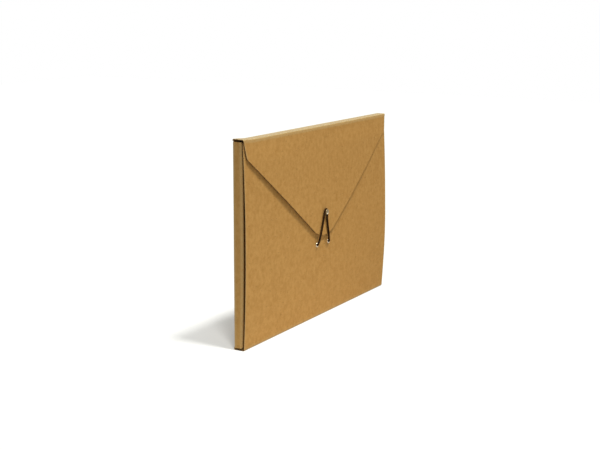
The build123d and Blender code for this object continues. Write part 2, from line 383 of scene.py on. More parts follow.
class NodeSheet:
    """Short ways to add and join shader nodes in one tree."""

    def __init__(self, tree: NodeTree) -> None:
        """Work on a tree."""
        self.tree = tree

    def fill(self, node: Node, values: Inputs) -> None:
        """Set or link a node's inputs.

        Args:
            node: the node.
            values: input name or number to a value or an output socket.
        """
        for name, value in values.items():
            if isinstance(value, NodeSocket):
                self.tree.links.new(value, node.inputs[name])
            else:
                node.inputs[name].default_value = value

    def add(self, kind: str, values: Inputs | None = None, **settings: object) -> Node:
        """Add a node, set its properties, and set or link its inputs.

        Args:
            kind: node type name.
            values: input name or number to a value or an output socket.
            **settings: properties of the node.

        Returns:
            The new node.
        """
        node = self.tree.nodes.new(kind)
        for name, value in settings.items():
            setattr(node, name, value)
        self.fill(node, values or {})
        return node

    def math(self, operation: str, first: Feed, second: Feed = 0.0) -> NodeSocket:
        """One arithmetic step on two numbers or sockets."""
        return self.add("ShaderNodeMath", {0: first, 1: second}, operation=operation).outputs[0]

    def times(self, first: Feed, second: Feed) -> NodeSocket:
        """One number or socket times another."""
        return self.math("MULTIPLY", first, second)

    def ramp(self, value: Feed, reach: Pair, to: Pair = (0.0, 1.0)) -> NodeSocket:
        """A smooth change of a value over a reach.

        Args:
            value: the number that is read.
            reach: where the change starts and ends.
            to: the results there.

        Returns:
            The result.
        """
        names = {"Value": value, "From Min": reach[0], "From Max": reach[1], "To Min": to[0], "To Max": to[1]}
        return self.add("ShaderNodeMapRange", names, interpolation_type="SMOOTHSTEP").outputs["Result"]

    def mix(self, share: Feed, first: Feed, second: Feed) -> NodeSocket:
        """Mix two colours by a share; the node's inputs 6 and 7 are its colours."""
        return self.add("ShaderNodeMix", {0: share, 6: first, 7: second}, data_type="RGBA").outputs[2]

    def noise(self, place: NodeSocket, grain: Grain) -> NodeSocket:
        """Noise between 0 and 1.

        Args:
            place: where it is read.
            grain: its scale, detail, roughness and stretch.

        Returns:
            The noise.
        """
        if grain.stretch is not None:
            place = self.add("ShaderNodeMapping", {"Vector": place, "Scale": grain.stretch}).outputs[0]
        names = {"Vector": place, "Scale": grain.scale, "Detail": grain.detail, "Roughness": grain.roughness}
        return self.add("ShaderNodeTexNoise", names).outputs["Fac"]

    def vector(self, operation: str, values: Inputs) -> NodeSocket:
        """One step of vector arithmetic whose result is a vector."""
        return self.add("ShaderNodeVectorMath", values, operation=operation).outputs[0]

    def read(self, name: str) -> NodeSocket:
        """A number that the mesh stores per point."""
        return self.add("ShaderNodeAttribute", attribute_name=name).outputs["Fac"]

    def place(self) -> NodeSocket:
        """The place on the object, in metres."""
        return self.add("ShaderNodeTexCoord").outputs["Object"]

    def group(self, tree: NodeTree, values: Inputs) -> bpy.types.bpy_prop_collection:
        """The outputs of a node group with its inputs set or linked."""
        return self.add("ShaderNodeGroup", values, node_tree=tree).outputs

    def bump(self, height: NodeSocket, relief: Pair) -> NodeSocket:
        """A normal from a height, with the relief's strength and its depth in metres."""
        names = {"Height": height, "Strength": relief[0], "Distance": relief[1]}
        return self.add("ShaderNodeBump", names).outputs[0]


def clear_sheet(owner: Material | World) -> NodeSheet:
    """Empty a node tree, to be filled anew.

    Args:
        owner: the material or world that has it.

    Returns:
        The tree's sheet.
    """
    owner.use_nodes = True
    owner.node_tree.nodes.clear()
    return NodeSheet(owner.node_tree)


def blank_material(name: str) -> tuple[Material, NodeSheet, Node]:
    """A material with only a Principled shader and its output.

    Args:
        name: material name.

    Returns:
        The material, its node sheet and the shader.
    """
    material = bpy.data.materials.new(name)
    sheet = clear_sheet(material)
    shader = sheet.add("ShaderNodeBsdfPrincipled")
    sheet.add("ShaderNodeOutputMaterial", {"Surface": shader.outputs[0]})
    return material, sheet, shader


def new_group(name: str, outputs: tuple[str, ...], inputs: dict[str, str]) -> NodeSheet:
    """An empty shader node group with named sockets.

    Args:
        name: group name.
        outputs: names of the numbers that it puts out.
        inputs: socket name to socket type.

    Returns:
        The sheet of the group's node tree.
    """
    tree = bpy.data.node_groups.new(name, "ShaderNodeTree")
    for label, kind in inputs.items():
        tree.interface.new_socket(label, in_out="INPUT", socket_type=kind)
    for label in outputs:
        tree.interface.new_socket(label, in_out="OUTPUT", socket_type="NodeSocketFloat")
    return NodeSheet(tree)


@dataclass(frozen=True)
class PaperFibre:
    """Paper fibre that the board's faces and cuts share: clouds, fibres, dark shives and height."""

    cloud: Grain = Grain(190.0, 4.0, 0.62)
    streak: Grain = Grain(260.0, 3.0, 0.6, (1.0, 1.0, 0.28))
    streak_share: float = 0.24
    warp_scale: float = 220.0
    warp_reach: float = 0.004
    along: Grain = Grain(900.0, 2.0, 0.6, (0.22, 1.0, 1.0))
    down: Grain = Grain(1000.0, 2.0, 0.6, (1.0, 1.0, 0.3))
    shive_turn: Place = (0.0, 0.5, 0.3)
    shive_stretch: Place = (0.32, 1.0, 1.0)
    shive_scale: float = 420.0
    shive_rarity: float = 0.86
    shive_edge: Pair = (0.30, 0.12)
    grit: Grain = Grain(2600.0, 2.0, 0.6)
    grit_share: float = 0.3

    def group(self) -> NodeTree:
        """Build the node group.

        Fibres are noise drawn out along and across the board, on a place that a slower noise
        bends. Shives are the few cells of a cell pattern whose own number is high.

        Returns:
            The group's node tree.
        """
        sheet = new_group("paper_fibre", ("Cloud", "Fibre", "Shive", "Height"), {"Place": "NodeSocketVector"})
        place = sheet.add("NodeGroupInput").outputs["Place"]
        cloud = sheet.times(sheet.noise(place, self.cloud), 1.0 - self.streak_share)
        streak = sheet.times(sheet.noise(place, self.streak), self.streak_share)
        warp = sheet.add("ShaderNodeTexNoise", {"Vector": place, "Scale": self.warp_scale, "Detail": 1.0})
        offset = sheet.vector("SUBTRACT", {0: warp.outputs["Color"], 1: (0.5, 0.5, 0.5)})
        small = sheet.vector("SCALE", {0: offset, "Scale": self.warp_reach})
        bent = sheet.vector("ADD", {0: place, 1: small})
        both = sheet.math("ADD", sheet.noise(bent, self.along), sheet.noise(bent, self.down))
        fibre = sheet.times(both, 0.5)
        names = {"Vector": bent, "Rotation": self.shive_turn, "Scale": self.shive_stretch}
        turned = sheet.add("ShaderNodeMapping", names).outputs[0]
        names = {"Vector": turned, "Scale": self.shive_scale, "Randomness": 1.0}
        cells = sheet.add("ShaderNodeTexVoronoi", names).outputs
        number = sheet.add("ShaderNodeSeparateColor", {0: cells["Color"]}).outputs[0]
        picked = sheet.math("GREATER_THAN", number, self.shive_rarity)
        shive = sheet.times(picked, sheet.ramp(cells["Distance"], self.shive_edge))
        grit = sheet.times(sheet.noise(place, self.grit), self.grit_share)
        height = sheet.math("ADD", sheet.times(fibre, 1.0 - self.grit_share), grit)
        clouds = sheet.math("ADD", cloud, streak)
        sheet.add("NodeGroupOutput", {"Cloud": clouds, "Fibre": fibre, "Shive": shive, "Height": height})
        return sheet.tree


@dataclass(frozen=True)
class FineScuff:
    """Fine rubbing that metal and board share: a mask of thin, broken scratches."""

    long: Grain = Grain(1.0, 2.0, 0.5, (0.12, 1.0, 1.6))
    long_reach: Pair = (0.62, 0.72)
    cross: Grain = Grain(1.0, 2.0, 0.5, (1.3, 1.0, 0.16))
    cross_reach: Pair = (0.64, 0.74)

    def group(self) -> NodeTree:
        """Build the node group: the crests of two noises, drawn out along the width and the height.

        Returns:
            The group's node tree.
        """
        inputs = {"Place": "NodeSocketVector", "Scale": "NodeSocketFloat"}
        sheet = new_group("fine_scuff", ("Mask",), inputs)
        given = sheet.add("NodeGroupInput").outputs
        scaled = sheet.vector("SCALE", {0: given["Place"], "Scale": given["Scale"]})
        long = sheet.ramp(sheet.noise(scaled, self.long), self.long_reach)
        cross = sheet.ramp(sheet.noise(scaled, self.cross), self.cross_reach)
        sheet.add("NodeGroupOutput", {"Mask": sheet.math("MAXIMUM", long, cross)})
        return sheet.tree


@dataclass(frozen=True)
class KraftFinish:
    """Solid kraft board: cloudy brown faces, paler folds from rubbing with a painted sheen on the lid's front
    fold, a polished top with a painted sheen, painted shade towards the right end and on the front panel's
    cut ends, and layered cuts.
    """

    face: Colour = (0.460, 0.239, 0.062, 1.0)
    pale: Colour = (0.540, 0.305, 0.093, 1.0)
    dark: Colour = (0.345, 0.170, 0.038, 1.0)
    shive: Colour = (0.190, 0.092, 0.028, 1.0)
    # Paler tone of rubbing on folds and edges; on the lid's front fold it is also a painted sheen.
    wear_and_sheen: Colour = (0.500, 0.350, 0.150, 1.0)
    # Painted sheen on the lid's polished top: a paler, greyer tone.
    painted_top_sheen: Colour = (0.410, 0.335, 0.158, 1.0)
    core: Colour = (0.150, 0.095, 0.045, 1.0)
    ply: Colour = (0.255, 0.150, 0.058, 1.0)
    # Painted shade on the front panel's cut ends, which face the dark slit beside each end wall.
    painted_slit_shade: Colour = (0.030, 0.018, 0.007, 1.0)
    cloud_reach: Pair = (0.30, 0.70)
    evenness: float = 0.48
    # Painted shade: the board darkens evenly towards its right end, standing in for light that falls off
    # across the width.
    painted_falloff_shade: float = 0.22
    painted_falloff_reach: Pair = (-0.17, 0.17)
    light_reach: Pair = (0.36, 0.66)
    light_share: float = 0.20
    dark_reach: Pair = (0.46, 0.30)
    dark_share: float = 0.22
    shive_share: float = 0.40
    scuff_scale: float = 160.0
    scuff_share: float = 0.10
    broken_reach: Pair = (0.32, 0.58)
    broken_range: Pair = (0.35, 1.0)
    wear_and_sheen_reach: Pair = (0.25, 1.0)
    wear_and_sheen_share: float = 0.66
    painted_top_sheen_share: float = 0.80
    plies: float = 5.0
    ply_ragged: float = 1.2
    ply_reach: Pair = (-0.2, 1.3)
    slit_shade_share: float = 0.85
    cut_reach: Pair = (0.35, 0.9)
    rough_reach: Pair = (0.3, 0.7)
    rough_range: Pair = (0.90, 0.74)
    relief: Pair = (0.22, 0.00025)
    gloss: float = 0.12
    polish: float = 0.30
    polish_roughness: float = 0.30

    def material(self, fibre: NodeTree, scuff: NodeTree) -> Material:
        """Build the board's material: coats of colour over a cloudy tone, and plies at the cuts.

        Args:
            fibre: the paper fibre group.
            scuff: the fine scuff group.

        Returns:
            The new material.
        """
        material, sheet, shader = blank_material("kraft_board")
        place = sheet.place()
        paper = sheet.group(fibre, {"Place": place})
        rub = sheet.group(scuff, {"Place": place, "Scale": self.scuff_scale})
        across = sheet.add("ShaderNodeSeparateXYZ", {0: place}).outputs["X"]
        broken = sheet.ramp(paper["Fibre"], self.broken_reach, self.broken_range)
        # Paler at folds from rubbing, and a painted sheen along the lid's front fold.
        wear_and_sheen_mask = sheet.times(sheet.ramp(sheet.read("fold"), self.wear_and_sheen_reach), broken)
        # Marks the lid's top for its polish coat and for a painted sheen.
        polish_and_sheen = sheet.read("polish_and_sheen")
        coats = (
            (self.evenness, self.face),
            # Painted shade, growing evenly towards the right end.
            (sheet.ramp(across, self.painted_falloff_reach, (0.0, self.painted_falloff_shade)), self.dark),
            (sheet.times(sheet.ramp(paper["Fibre"], self.light_reach), self.light_share), self.pale),
            (sheet.times(sheet.ramp(paper["Fibre"], self.dark_reach), self.dark_share), self.dark),
            (sheet.times(paper["Shive"], self.shive_share), self.shive),
            (sheet.times(rub["Mask"], self.scuff_share), self.pale),
            (sheet.times(wear_and_sheen_mask, self.wear_and_sheen_share), self.wear_and_sheen),
            (sheet.times(sheet.times(polish_and_sheen, broken), self.painted_top_sheen_share), self.painted_top_sheen),
        )
        tone = sheet.mix(sheet.ramp(paper["Cloud"], self.cloud_reach), self.dark, self.pale)
        for share, coat in coats:
            tone = sheet.mix(share, tone, coat)
        ply = sheet.math("SINE", sheet.times(sheet.read("depth"), FULL_TURN * self.plies))
        ragged = sheet.math("ADD", ply, sheet.times(paper["Fibre"], self.ply_ragged))
        layers = sheet.mix(sheet.ramp(ragged, self.ply_reach), self.core, self.ply)
        # Painted shade on the front panel's cut ends.
        layers = sheet.mix(sheet.times(sheet.read("slit_shade_mask"), self.slit_shade_share), layers, self.painted_slit_shade)
        looks = {
            "Base Color": sheet.mix(sheet.ramp(sheet.read("cut"), self.cut_reach), tone, layers),
            "Roughness": sheet.ramp(paper["Fibre"], self.rough_reach, self.rough_range),
            "Normal": sheet.bump(paper["Height"], self.relief),
            "Specular IOR Level": self.gloss,
            "Coat Weight": sheet.times(polish_and_sheen, self.polish),
            "Coat Roughness": self.polish_roughness,
        }
        sheet.fill(shader, looks)
        return material


@dataclass(frozen=True)
class NickelFinish:
    """Nickel plate with fine handling marks and dull stains, and on the stud a painted dark reflection and a
    painted highlight.
    """

    bright: Colour = (0.59, 0.48, 0.34, 1.0)
    dull: Colour = (0.41, 0.33, 0.22, 1.0)
    # Painted dark reflection and painted highlight, which the stud marks on its metal.
    painted_dark_reflection_tone: Colour = (0.20, 0.15, 0.070, 1.0)
    wear_and_highlight: Colour = (0.90, 0.80, 0.62, 1.0)
    haze: Grain = Grain(700.0, 3.0, 0.6)
    stain_reach: Pair = (0.45, 0.8)
    stain_share: float = 0.5
    scuff_scale: float = 1400.0
    scuff_share: float = 0.12
    rough_reach: Pair = (0.2, 0.8)
    rough_range: Pair = (0.24, 0.36)
    relief: Pair = (0.12, 0.00003)

    def material(self, scuff: NodeTree) -> Material:
        """Build the plated metal's material.

        Args:
            scuff: the fine scuff group.

        Returns:
            The new material.
        """
        material, sheet, shader = blank_material("nickel")
        place = sheet.place()
        marks = sheet.group(scuff, {"Place": place, "Scale": self.scuff_scale})["Mask"]
        haze = sheet.noise(place, self.haze)
        stain = sheet.times(sheet.ramp(haze, self.stain_reach), self.stain_share)
        colour = sheet.mix(stain, self.bright, self.dull)
        # The stud's painted dark reflection over all its metal, then its painted highlight.
        for name, tone in (("painted_dark_reflection", self.painted_dark_reflection_tone), ("wear_and_highlight", self.wear_and_highlight)):
            colour = sheet.mix(sheet.read(name), colour, tone)
        rough = sheet.ramp(haze, self.rough_reach, self.rough_range)
        looks = {
            "Base Color": colour,
            "Roughness": sheet.math("ADD", rough, sheet.times(marks, self.scuff_share)),
            "Normal": sheet.bump(marks, self.relief),
            "Metallic": 1.0,
        }
        sheet.fill(shader, looks)
        return material


@dataclass(frozen=True)
class CordFinish:
    """Dark brown braided sheath over elastic."""

    yarn: Colour = (0.022, 0.0085, 0.0012, 1.0)
    lit: Colour = (0.042, 0.0185, 0.0045, 1.0)
    # Painted shade in the braid's grooves, between the yarns.
    groove: Colour = (0.006, 0.0030, 0.0012, 1.0)
    filament: Grain = Grain(1.0, 2.0, 0.6, (60.0, 240.0, 1.0))
    filament_reach: Pair = (0.3, 0.7)
    fuzz: Grain = Grain(2200.0, 3.0, 0.6)
    fuzz_reach: Pair = (0.62, 0.8)
    fuzz_range: Pair = (0.0, 0.5)
    fuzz_height: float = 0.5
    groove_reach: Pair = (0.45, 0.05)
    rough_reach: Pair = (0.2, 0.8)
    rough_range: Pair = (0.70, 0.90)
    relief: Pair = (0.35, 0.00006)
    gloss: float = 0.06

    def material(self) -> Material:
        """Build the cord's material, which reads the braid's height for a painted shade in its grooves, and
        the yarn's own lines.

        Returns:
            The new material.
        """
        material, sheet, shader = blank_material("elastic_cord")
        braid = sheet.add("ShaderNodeUVMap", uv_map="braid").outputs[0]
        filament = sheet.noise(braid, self.filament)
        fuzz = sheet.noise(sheet.place(), self.fuzz)
        tone = sheet.mix(sheet.ramp(filament, self.filament_reach), self.yarn, self.lit)
        tone = sheet.mix(sheet.ramp(fuzz, self.fuzz_reach, self.fuzz_range), tone, self.lit)
        # Painted shade where the braid is low, between the yarns.
        in_groove = sheet.ramp(sheet.read("braid_height"), self.groove_reach)
        height = sheet.math("ADD", filament, sheet.times(fuzz, self.fuzz_height))
        looks = {
            "Base Color": sheet.mix(in_groove, tone, self.groove),
            "Roughness": sheet.ramp(filament, self.rough_reach, self.rough_range),
            "Normal": sheet.bump(height, self.relief),
            "Specular IOR Level": self.gloss,
        }
        sheet.fill(shader, looks)
        return material


@dataclass
class CaseSizes:
    """Sizes that the pieces share, how the case has changed in use, and where the lid's polish and painted
    sheen lie.
    """

    half_width: float = 170.0
    front_half: float = 169.4
    height: float = 235.3
    half_depth: float = 6.5
    board: float = 0.9
    mouth: float = 232.6
    bow: float = 3.0
    low_fold: float = 1.6
    back_fold: float = 1.7
    front_fold: float = 1.2
    corner_fold: float = 1.5
    lid_middle: float = 0.5
    wall_low: float = 2.5
    wall_high: float = 233.3
    slit: float = 2.8
    slit_end: float = 0.8
    slit_foot: float = 2.0
    glue: float = 0.1
    eyelet_x: float = 14.0
    eyelet_z: float = 92.0
    wave_foot: Pair = (2.0, 30.0)
    drawn_in: float = 1.9
    drawn_from: float = 90.0
    swollen: float = 0.9
    swollen_at: float = 70.0
    swollen_reach: float = 42.0
    swollen_foot: float = 20.0
    settled_from: float = 20.0
    # Where the lid's polish and its painted sheen rise, below the top.
    polish_and_sheen_reach: Pair = (0.9, 0.05)
    kick: float = 1.5
    kick_loss: float = 1.0 / 3.0
    kick_width: float = 24.0
    kick_reach: Pair = (20.0, 1.5)

    @property
    def bow_middle(self) -> float:
        """Height of the bow's crest."""
        return (self.mouth + self.board) / 2

    @property
    def bow_radius(self) -> float:
        """Radius of the front panel's bow."""
        span = self.mouth - self.board
        return span**2 / (8 * self.bow) + self.bow / 2

    def front_y(self, height: np.ndarray) -> np.ndarray:
        """Y of the front panel's outside at a height, on a circle through its top and base."""
        rise = np.sqrt(self.bow_radius**2 - (height - self.bow_middle) ** 2)
        return -self.half_depth - self.bow + self.bow_radius - rise

    def front_normal(self, height: np.ndarray) -> np.ndarray:
        """Outward unit normals of the bowed front, as Y and Z."""
        up = (np.asarray(height, float) - self.bow_middle) / self.bow_radius
        return np.stack([-np.sqrt(1 - up**2), up], axis=-1)

    def settle(self, x: np.ndarray, z: np.ndarray) -> np.ndarray:
        """How the right end has settled in use: drawn in at the top, swollen lower down.

        Both grow towards the right end by an even rise. The swelling is a bell curve over the height.

        Args:
            x: places across the width.
            z: heights.

        Returns:
            A distance along Y for each point.
        """
        drawn = self.drawn_in * smooth_step(z, self.drawn_from, self.height)
        bell = np.exp(-(((z - self.swollen_at) / self.swollen_reach) ** 2))
        swollen = self.swollen * bell * smooth_step(z, 0.0, self.swollen_foot)
        return (drawn - swollen) * smooth_step(x, self.settled_from, self.half_width)

    def age_lid_and_mark_sheen(self, obj: Object) -> None:
        """Mark the lid's top for a polish and a painted sheen, and lift its left end off the side wall.

        The mark for polish and painted sheen rises evenly just below the top. The lift rises evenly over the
        last stretch of the width and over the top of the sheet, and is less at the front than at the back.

        Args:
            obj: a sheet of board that is part of the lid.
        """
        place = mesh_points(obj.data)
        x, y, z = place.T
        start, full = self.polish_and_sheen_reach
        point_values(obj, "polish_and_sheen", smooth_step(z, self.height - start, self.height - full))
        at_end = smooth_step(x, self.kick_width - self.half_width, -self.half_width)
        start, full = self.kick_reach
        near_top = smooth_step(z, self.height - start, self.height - full)
        to_front = (1.0 - y / self.half_depth) / 2.0
        place[:, 2] += self.kick * (1.0 - self.kick_loss * to_front) * at_end * near_top
        move_points(obj.data, place)


def even_columns(count: int, crowding: float = 0.12) -> np.ndarray:
    """Shares across the half width from -1 to 1, closer together near both ends."""
    share = np.linspace(-1.0, 1.0, count)
    return (1.0 + crowding) * share - crowding * share**3


def carried(
    profile: Profile, half_widths: np.ndarray, columns: np.ndarray, board: float
) -> tuple[np.ndarray, np.ndarray]:
    """Carry a profile in Y and Z along the width.

    A point is the profile's place with X equal to its column's share of that row's half width.
    The inner grid lies one board thickness behind it along the profile's normal.

    Args:
        profile: line in Y and Z with normals that point outwards.
        half_widths: half width of each row.
        columns: shares of the half width from -1 to 1.
        board: thickness.

    Returns:
        The outer and the inner grid.
    """
    outside = np.zeros((len(half_widths), len(columns), 3))
    outside[:, :, 0] = half_widths[:, None] * columns[None, :]
    outside[:, :, 1:] = profile.points[:, None, :]
    normals = np.zeros_like(outside)
    normals[:, :, 1:] = profile.normals[:, None, :]
    return outside, outside - board * normals


def soft_warp(grid: np.ndarray, phase: float) -> np.ndarray:
    """Slow waves of handled board, under a quarter of a millimetre.

    A long wave is a sine across the width times a cosine over the height. A weaker, shorter one
    is a sine that runs aslant.

    Args:
        grid: points in millimetres, rows by columns by 3.
        phase: shifts the pattern, so that no two boards share it.

    Returns:
        A distance along Y for each point.
    """
    x, z = grid[:, :, 0], grid[:, :, 2]
    long_wave = np.sin(x / LONG_WAVE[0] + phase) * np.cos(z / LONG_WAVE[1] + PHASE_SHIFT[0] * phase)
    short_wave = np.sin(x / SHORT_WAVE[0] - PHASE_SHIFT[1] * phase + z / SHORT_WAVE[1])
    return WAVE_RISE[0] * long_wave + WAVE_RISE[1] * short_wave


@dataclass
class PocketFront:
    """The bowed front panel with its bottom fold, and the strip that the case stands on.

    Its foot and its ends are marked paler from rubbing, and its two cut ends carry a painted shade for the
    dark slit behind them.
    """

    sizes: CaseSizes
    hole: float = 2.0
    hole_lines: tuple[float, ...] = (5.4, 4.2, 3.0)
    hole_reach: float = 7.0
    hole_clear: float = 1.0
    dimple: float = 0.16
    row_step: float = 2.2
    column_step: float = 2.8
    phase: float = 0.6
    edge_rub: float = 0.75
    rub_reach: float = 5.0
    slit_shade_from: float = 0.05

    def graded(self, low: float, high: float, centres: tuple[float, ...], step: float) -> np.ndarray:
        """Grid lines from low to high, with close lines round each eyelet.

        Args:
            low: first line.
            high: last line.
            centres: places of the eyelets.
            step: spacing away from the eyelets.

        Returns:
            Sorted places of the lines.
        """
        near = -np.array([self.hole_reach, *self.hole_lines, self.hole, self.hole / 2, 0.0])
        near = np.concatenate([near, -near[:-1][::-1]])
        even = np.linspace(low, high, int((high - low) / step) + 1)
        at_border = (even == low) | (even == high)
        clear = np.ones(len(even), bool)
        for centre in centres:
            clear &= (np.abs(even - centre) > self.hole_reach + self.hole_clear) | at_border
        lines = [even[clear]] + [centre + near for centre in centres]
        return np.unique(np.concatenate(lines).round(LINE_DIGITS))

    def profile(self, heights: np.ndarray) -> Profile:
        """The sheet's line in Y and Z, from its mouth down the bow and round the fold to the back.

        Args:
            heights: heights of the bow's points, from the mouth down.

        Returns:
            The line.
        """
        sizes, fold = self.sizes, self.sizes.low_fold
        profile = Profile()
        profile.add(np.column_stack([sizes.front_y(heights), heights]), sizes.front_normal(heights), 0.0)
        normal = profile.normals[-1]
        centre = profile.points[-1] - fold * normal
        first = math.degrees(math.atan2(normal[1], normal[0])) % 360.0
        profile.arc(tuple(centre), fold, first, 270.0, FOLD_STEPS)
        profile.run((centre[0], 0.0), (sizes.half_depth - fold, 0.0), SPINE_STEPS)
        profile.normals[1 - SPINE_STEPS :] = (0.0, -1.0)
        return profile

    def pierced(
        self, grids: tuple[np.ndarray, ...], columns: np.ndarray, heights: np.ndarray
    ) -> tuple[Block, ...]:
        """Draw the rows and columns round each eyelet into circles.

        Within the reach a point keeps its direction from the eyelet's centre, and its larger offset
        becomes its distance. The board dips a little towards the hole.

        Args:
            grids: the outer and the inner grid, which are changed.
            columns: places of the columns.
            heights: heights of the bow's rows.

        Returns:
            The blocks of the grids that lie in the holes.
        """
        sizes, holes = self.sizes, []
        for x in (-sizes.eyelet_x, sizes.eyelet_x):
            across, up = columns - x, heights - sizes.eyelet_z
            reach = np.maximum(np.abs(across)[None, :], np.abs(up)[:, None])
            length = np.maximum(np.hypot(across[None, :], up[:, None]), TINY)
            share = 1.0 - smooth_step(reach, self.hole, self.hole_reach)
            pull = share * (reach / length - 1.0)
            for grid in grids:
                part = grid[: len(heights)]
                part[:, :, 0] += across[None, :] * pull
                part[:, :, 1] += self.dimple * share
                part[:, :, 2] += up[:, None] * pull
            rows = np.flatnonzero(np.abs(up) <= self.hole + CLOSE)
            cols = np.flatnonzero(np.abs(across) <= self.hole + CLOSE)
            holes.append((int(rows[0]), int(rows[-1]), int(cols[0]), int(cols[-1])))
        return tuple(holes)

    def build(self) -> Object:
        """Build the sheet, with its two eyelet holes.

        Returns:
            The new object.
        """
        sizes, end = self.sizes, self.sizes.front_half
        start = sizes.low_fold * (1.0 + float(sizes.front_normal(sizes.low_fold)[1]))
        heights = self.graded(start, sizes.mouth, (sizes.eyelet_z,), self.row_step)[::-1]
        profile = self.profile(heights)
        columns = self.graded(-end, end, (-sizes.eyelet_x, sizes.eyelet_x), self.column_step)
        half = np.full(len(profile.points), end)
        outside, inside = carried(profile, half, columns / end, sizes.board)
        fade = smooth_step(profile.points[:, 1], *sizes.wave_foot)[:, None]
        wave = soft_warp(outside, self.phase) * fade
        wave += sizes.settle(outside[:, :, 0], outside[:, :, 2])
        for grid in (outside, inside):
            grid[:, :, 1] += wave
        holes = self.pierced((outside, inside), columns, heights)
        near_foot = smooth_step(profile.points[:, 1], start + self.rub_reach, start)[:, None]
        near_ends = smooth_step(np.abs(columns), end - self.rub_reach, end)[None, :]
        wear_and_highlight = self.edge_rub * np.maximum(near_foot, near_ends)
        bends = np.maximum(profile.bends[:, None], wear_and_highlight)
        obj = board_sheet("front_board", outside, inside, bends, holes)
        # Mark the cut ends for the painted shade of the slit.
        past_end = np.abs(mesh_points(obj.data)[:, 0]) > end + self.slit_shade_from
        point_values(obj, "slit_shade_mask", past_end.astype(float))
        return obj


@dataclass
class PocketBack:
    """The back panel with its bottom fold, and the back half of the lid's spine."""

    sizes: CaseSizes
    wall_joint: float = 0.5
    rows: tuple[int, ...] = (3, 2, 80, 2, 4)
    top_steps: int = 11
    columns: int = 121
    wave_top: Pair = (232.0, 205.0)
    wave_ends: Pair = (0.80, 0.97)
    phase: float = 2.1

    def build(self) -> Object:
        """Build the sheet from the base, up the back and over the top fold to the lid's middle.

        Between the ends of the side walls its rows are shorter by the walls' corner folds.

        Returns:
            The new object.
        """
        sizes, joint = self.sizes, self.wall_joint
        face, low, top = sizes.half_depth, sizes.low_fold, sizes.back_fold
        first, last = sizes.wall_low, sizes.wall_high
        profile = Profile()
        profile.arc((face - low, low), low, 270.0, 360.0, FOLD_STEPS)
        stops = (low, first, first + joint, last - joint, last, sizes.height - top)
        for start, end, count in zip(stops, stops[1:], self.rows):
            profile.run((face, start), (face, end), count)
        profile.arc((face - top, sizes.height - top), top, 0.0, 90.0, self.top_steps)
        profile.run((face - top, sizes.height), (sizes.lid_middle, sizes.height), SPINE_STEPS)
        profile.normals[1 - SPINE_STEPS :] = (0.0, 1.0)
        height = profile.points[:, 1]
        beside_wall = (height > first + joint / 2) & (height < last - joint / 2)
        half = np.where(beside_wall, sizes.half_width - sizes.corner_fold, sizes.half_width)
        columns = even_columns(self.columns)
        outside, inside = carried(profile, half, columns, sizes.board)
        fade = smooth_step(height, *sizes.wave_foot) * smooth_step(height, *self.wave_top)
        edge = 1.0 - smooth_step(np.abs(columns), *self.wave_ends)
        wave = soft_warp(outside, self.phase) * fade[:, None] * edge[None, :]
        for grid in (outside, inside):
            grid[:, :, 1] += wave
        obj = board_sheet("back_board", outside, inside, profile.bends[:, None])
        sizes.age_lid_and_mark_sheen(obj)
        return obj


